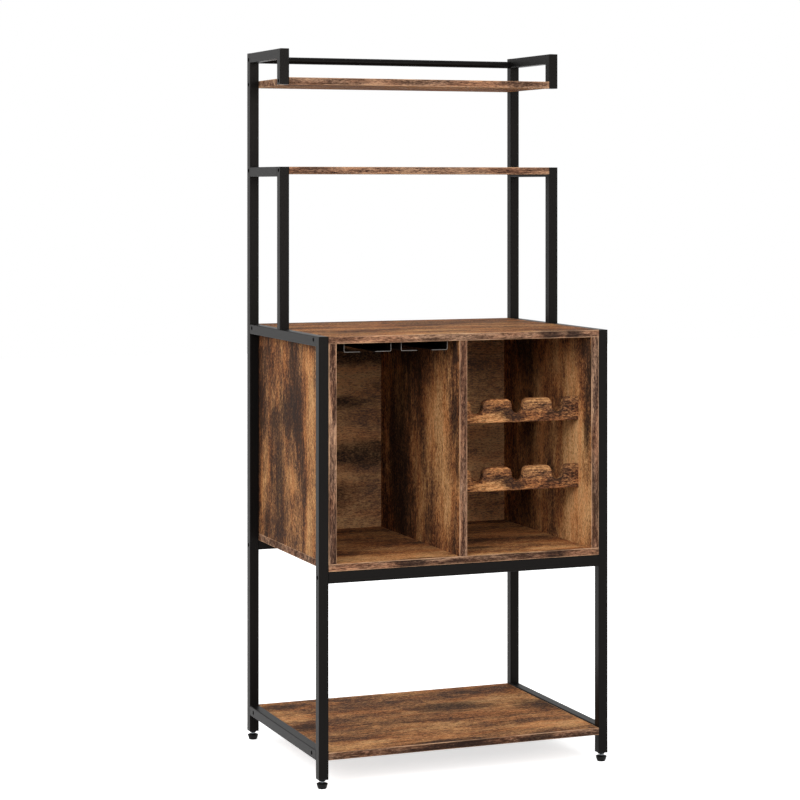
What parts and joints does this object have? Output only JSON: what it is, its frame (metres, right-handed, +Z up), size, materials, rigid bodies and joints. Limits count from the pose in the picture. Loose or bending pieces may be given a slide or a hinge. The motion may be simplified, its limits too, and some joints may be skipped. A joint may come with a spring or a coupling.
{
  "type": "kitchen shelving unit",
  "caption": "Tall kitchen shelving unit: square-tube steel frame with brown boards, a cabinet with stemware rails and scalloped bottle rails, open shelves and a guarded top shelf.",
  "frame": {"origin": "on the floor, under the middle of the unit's footprint", "axes": "+Z up, +X to the right seen from the front, the open front faces -Y"},
  "size_m": [0.682, 0.502, 1.584],
  "materials": {
    "frame_paint": "satin black powder coat",
    "rustic_board": "matt rustic brown board",
    "thin_back_board": "matt rustic brown thin board",
    "black_sheet": "satin black powder coat on folded sheet",
    "black_fasteners": "black oxide",
    "zinc_steel": "bright zinc plate",
    "dowel_wood": "plain beech",
    "black_plastic": "moulded, matt",
    "pad_plastic": "moulded, fine grain"
  },
  "bodies": {
    "frame": {"front_post_left": "frame_paint", "front_post_right": "frame_paint", "rear_upright_left": "frame_paint", "rear_upright_right": "frame_paint", "mid_post_left": "frame_paint", "mid_post_right": "frame_paint", "guard_top_rail_left": "frame_paint", "guard_top_rail_right": "frame_paint", "guard_drop_left": "frame_paint", "guard_drop_right": "frame_paint", "second_shelf_rail_left": "frame_paint", "second_shelf_rail_right": "frame_paint", "cabinet_top_rail_left": "frame_paint", "cabinet_top_rail_right": "frame_paint", "bottom_rail_left": "frame_paint", "bottom_rail_right": "frame_paint", "front_cross_rail": "frame_paint", "rear_cross_rail": "frame_paint", "guard_rear_bar": "frame_paint", "tube_closing_plates": "frame_paint", "top_shelf_board": "rustic_board", "second_shelf_board": "rustic_board", "cabinet_top_board": "rustic_board", "cabinet_floor_board": "rustic_board", "bottom_shelf_board": "rustic_board", "side_panel_left": "rustic_board", "side_panel_right": "rustic_board", "divider_panel": "rustic_board", "neck_rail_lower": "rustic_board", "neck_rail_upper": "rustic_board", "body_rail_lower": "rustic_board", "body_rail_upper": "rustic_board", "back_panel": "thin_back_board", "stemware_rail_left": "black_sheet", "stemware_rail_middle": "black_sheet", "stemware_rail_right": "black_sheet", "frame_bolts_left": "black_fasteners", "frame_bolts_right": "black_fasteners", "stemware_screws": "black_fasteners", "cabinet_floor_screws": "black_fasteners", "board_inserts_left": "zinc_steel", "board_inserts_right": "zinc_steel", "carcass_dowels": "dowel_wood", "bottle_rail_dowels": "dowel_wood", "rail_nut_plugs": "black_plastic", "foot_insert_front_left": "black_plastic", "foot_insert_front_right": "black_plastic", "foot_insert_rear_left": "black_plastic", "foot_insert_rear_right": "black_plastic"},
    "foot_front_left": {"levelling_stud_front_left": "zinc_steel", "levelling_pad_front_left": "pad_plastic"},
    "foot_front_right": {"levelling_stud_front_right": "zinc_steel", "levelling_pad_front_right": "pad_plastic"},
    "foot_rear_left": {"levelling_stud_rear_left": "zinc_steel", "levelling_pad_rear_left": "pad_plastic"},
    "foot_rear_right": {"levelling_stud_rear_right": "zinc_steel", "levelling_pad_rear_right": "pad_plastic"}
  },
  "joints": [
    {"name": "foot_front_left_slide", "type": "slide", "parent": "frame", "child": "foot_front_left", "axis": [0, 0, -1], "range_m": [-0.003, 0.012]},
    {"name": "foot_front_right_slide", "type": "slide", "parent": "frame", "child": "foot_front_right", "axis": [0, 0, -1], "range_m": [-0.003, 0.012]},
    {"name": "foot_rear_left_slide", "type": "slide", "parent": "frame", "child": "foot_rear_left", "axis": [0, 0, -1], "range_m": [-0.003, 0.012]},
    {"name": "foot_rear_right_slide", "type": "slide", "parent": "frame", "child": "foot_rear_right", "axis": [0, 0, -1], "range_m": [-0.003, 0.012]}
  ]
}
